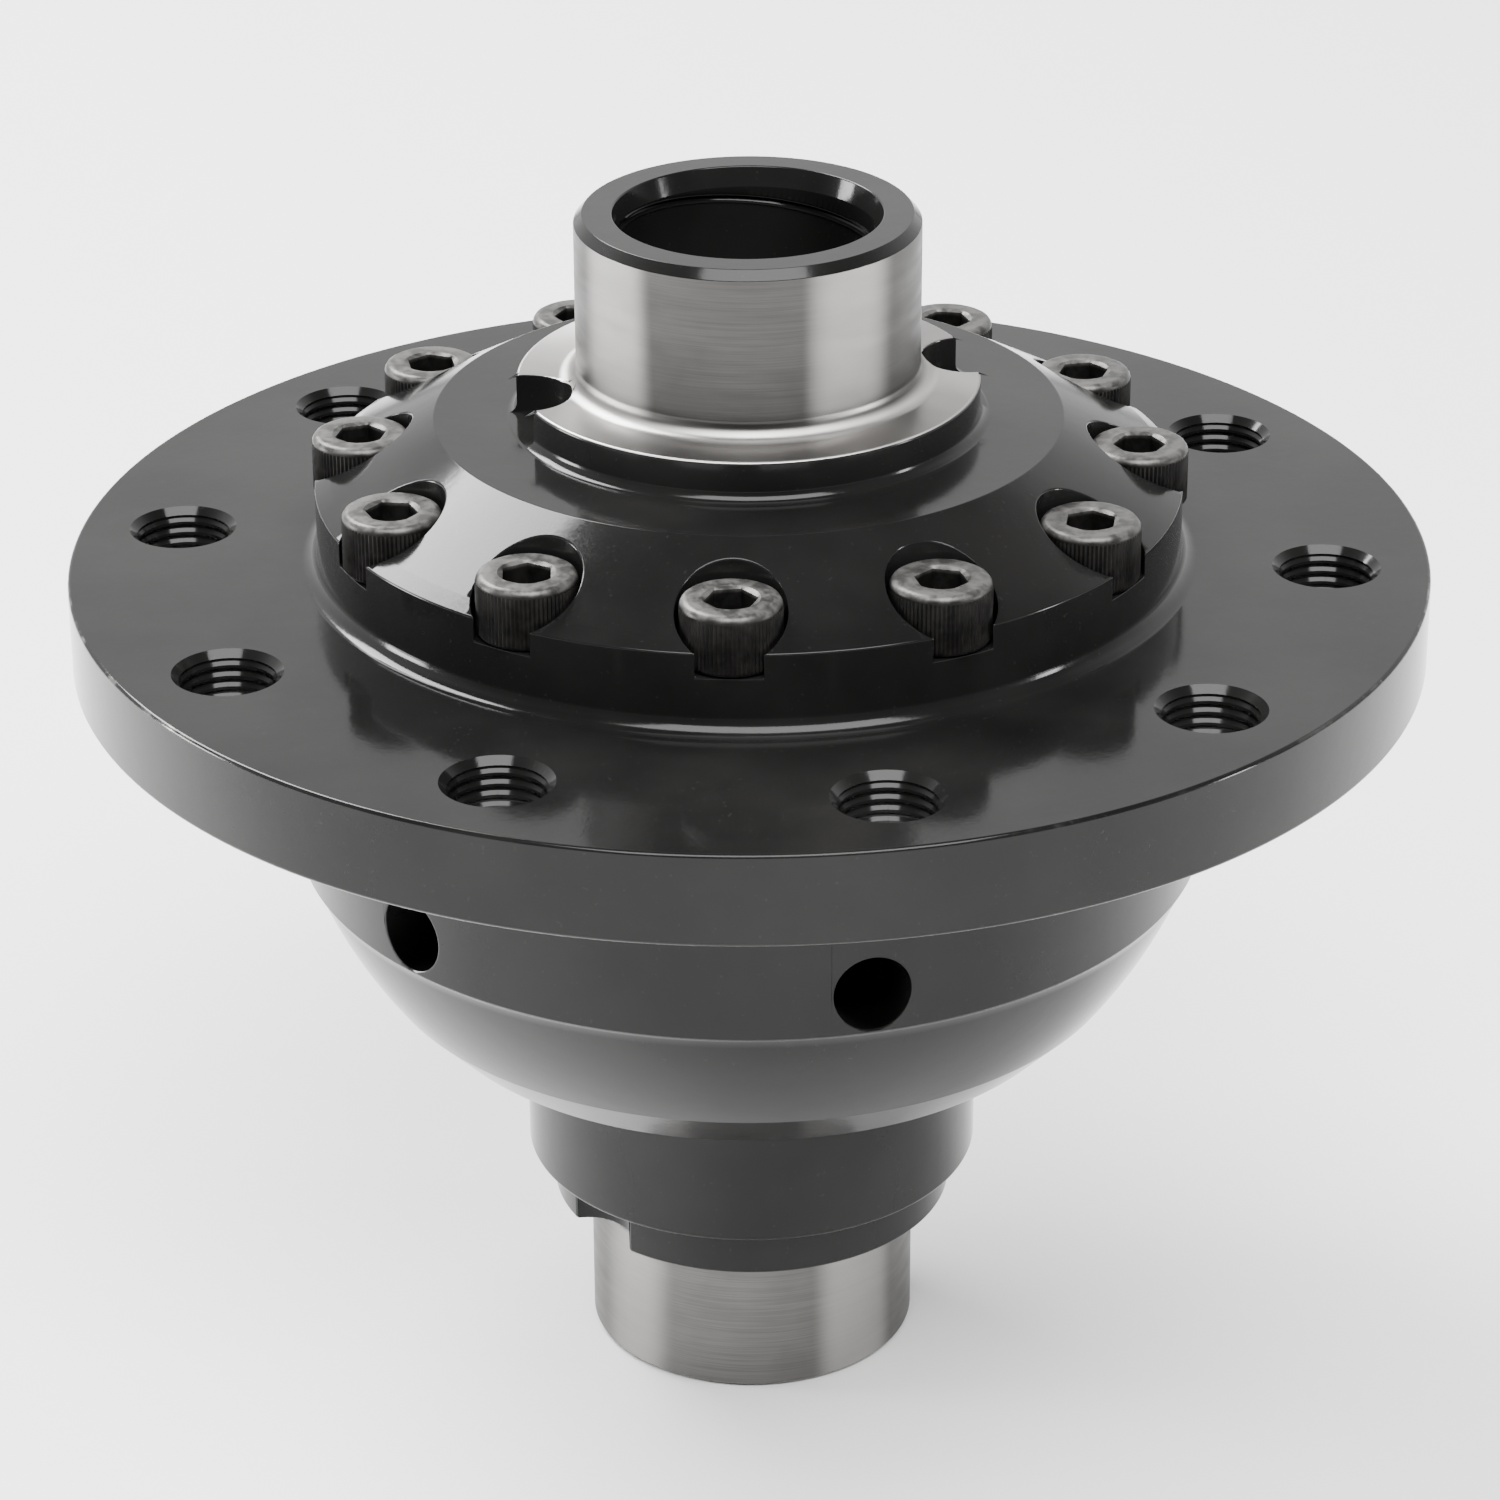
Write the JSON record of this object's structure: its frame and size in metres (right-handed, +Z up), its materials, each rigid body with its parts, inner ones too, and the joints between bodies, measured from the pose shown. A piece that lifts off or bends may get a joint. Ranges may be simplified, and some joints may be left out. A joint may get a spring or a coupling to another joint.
{
  "type": "differential gear assembly",
  "caption": "Helical-gear limited-slip differential: bolted case and flanged cover with bearing journals, ring-gear flange, side gears and pinion pairs.",
  "frame": {"origin": "centre of the lower journal's end face, on the rotation axis", "axes": "+Z up the rotation axis, from the case journal to the cover journal; +X through one of the cover collar's two drive notches; -Y through the centre of a flange bolt hole"},
  "size_m": [0.1804, 0.1804, 0.165],
  "materials": {
    "black_coated": "satin to glossy black coating on cast and machined steel, ground bearing journals left bare",
    "ground_steel": "bare ground steel bearing journals and thrust face",
    "black_oxide": "black oxide socket-head screws with worn grey head faces",
    "gear_steel": "oiled, case-hardened gear steel",
    "hardened_steel": "ground thrust washer steel",
    "spring_steel": "blued disc-spring steel"
  },
  "bodies": {
    "carrier": {"case": "black_coated", "cover": "black_coated", "cap_screw_01": "black_oxide", "cap_screw_02": "black_oxide", "cap_screw_03": "black_oxide", "cap_screw_04": "black_oxide", "cap_screw_05": "black_oxide", "cap_screw_06": "black_oxide", "cap_screw_07": "black_oxide", "cap_screw_08": "black_oxide", "cap_screw_09": "black_oxide", "cap_screw_10": "black_oxide", "cap_screw_11": "black_oxide", "cap_screw_12": "black_oxide", "centre_block": "hardened_steel", "upper_centre_washer": "hardened_steel", "lower_centre_washer": "hardened_steel", "upper_thrust_washer": "hardened_steel", "lower_thrust_washer": "hardened_steel", "upper_disc_spring": "spring_steel", "lower_disc_spring": "spring_steel"},
    "upper_side_gear": {"upper_side_gear": "gear_steel"},
    "lower_side_gear": {"lower_side_gear": "gear_steel"},
    "pinion_a_1": {"pinion_a_1": "gear_steel"},
    "pinion_b_1": {"pinion_b_1": "gear_steel"},
    "pinion_a_2": {"pinion_a_2": "gear_steel"},
    "pinion_b_2": {"pinion_b_2": "gear_steel"},
    "pinion_a_3": {"pinion_a_3": "gear_steel"},
    "pinion_b_3": {"pinion_b_3": "gear_steel"},
    "pinion_a_4": {"pinion_a_4": "gear_steel"},
    "pinion_b_4": {"pinion_b_4": "gear_steel"},
    "pinion_a_5": {"pinion_a_5": "gear_steel"},
    "pinion_b_5": {"pinion_b_5": "gear_steel"},
    "pinion_a_6": {"pinion_a_6": "gear_steel"},
    "pinion_b_6": {"pinion_b_6": "gear_steel"}
  },
  "joints": [
    {"name": "upper_side_gear_spin", "type": "hinge", "parent": "carrier", "child": "upper_side_gear", "pos_m": [0, 0, 0.091], "axis": [0, 0, 1], "continuous": true},
    {"name": "lower_side_gear_spin", "type": "hinge", "parent": "carrier", "child": "lower_side_gear", "pos_m": [0, 0, 0.091], "axis": [0, 0, 1], "continuous": true},
    {"name": "pinion_a_1_spin", "type": "hinge", "parent": "carrier", "child": "pinion_a_1", "pos_m": [0.03059, 0.01059, 0.091], "axis": [0, 0, 1], "continuous": true},
    {"name": "pinion_b_1_spin", "type": "hinge", "parent": "carrier", "child": "pinion_b_1", "pos_m": [0.02447, 0.0212, 0.091], "axis": [0, 0, 1], "continuous": true},
    {"name": "pinion_a_2_spin", "type": "hinge", "parent": "carrier", "child": "pinion_a_2", "pos_m": [0.00613, 0.03179, 0.091], "axis": [0, 0, 1], "continuous": true},
    {"name": "pinion_b_2_spin", "type": "hinge", "parent": "carrier", "child": "pinion_b_2", "pos_m": [-0.00613, 0.03179, 0.091], "axis": [0, 0, 1], "continuous": true},
    {"name": "pinion_a_3_spin", "type": "hinge", "parent": "carrier", "child": "pinion_a_3", "pos_m": [-0.02447, 0.0212, 0.091], "axis": [0, 0, 1], "continuous": true},
    {"name": "pinion_b_3_spin", "type": "hinge", "parent": "carrier", "child": "pinion_b_3", "pos_m": [-0.03059, 0.01059, 0.091], "axis": [0, 0, 1], "continuous": true},
    {"name": "pinion_a_4_spin", "type": "hinge", "parent": "carrier", "child": "pinion_a_4", "pos_m": [-0.03059, -0.01059, 0.091], "axis": [0, 0, 1], "continuous": true},
    {"name": "pinion_b_4_spin", "type": "hinge", "parent": "carrier", "child": "pinion_b_4", "pos_m": [-0.02447, -0.0212, 0.091], "axis": [0, 0, 1], "continuous": true},
    {"name": "pinion_a_5_spin", "type": "hinge", "parent": "carrier", "child": "pinion_a_5", "pos_m": [-0.00613, -0.03179, 0.091], "axis": [0, 0, 1], "continuous": true},
    {"name": "pinion_b_5_spin", "type": "hinge", "parent": "carrier", "child": "pinion_b_5", "pos_m": [0.00613, -0.03179, 0.091], "axis": [0, 0, 1], "continuous": true},
    {"name": "pinion_a_6_spin", "type": "hinge", "parent": "carrier", "child": "pinion_a_6", "pos_m": [0.02447, -0.0212, 0.091], "axis": [0, 0, 1], "continuous": true},
    {"name": "pinion_b_6_spin", "type": "hinge", "parent": "carrier", "child": "pinion_b_6", "pos_m": [0.03059, -0.01059, 0.091], "axis": [0, 0, 1], "continuous": true}
  ],
  "couplings": [
    {"joint": "lower_side_gear_spin", "follows": "upper_side_gear_spin", "ratio": -1},
    {"joint": "pinion_a_1_spin", "follows": "upper_side_gear_spin", "ratio": -4.2857},
    {"joint": "pinion_b_1_spin", "follows": "upper_side_gear_spin", "ratio": 4.2857},
    {"joint": "pinion_a_2_spin", "follows": "upper_side_gear_spin", "ratio": -4.2857},
    {"joint": "pinion_b_2_spin", "follows": "upper_side_gear_spin", "ratio": 4.2857},
    {"joint": "pinion_a_3_spin", "follows": "upper_side_gear_spin", "ratio": -4.2857},
    {"joint": "pinion_b_3_spin", "follows": "upper_side_gear_spin", "ratio": 4.2857},
    {"joint": "pinion_a_4_spin", "follows": "upper_side_gear_spin", "ratio": -4.2857},
    {"joint": "pinion_b_4_spin", "follows": "upper_side_gear_spin", "ratio": 4.2857},
    {"joint": "pinion_a_5_spin", "follows": "upper_side_gear_spin", "ratio": -4.2857},
    {"joint": "pinion_b_5_spin", "follows": "upper_side_gear_spin", "ratio": 4.2857},
    {"joint": "pinion_a_6_spin", "follows": "upper_side_gear_spin", "ratio": -4.2857},
    {"joint": "pinion_b_6_spin", "follows": "upper_side_gear_spin", "ratio": 4.2857}
  ]
}
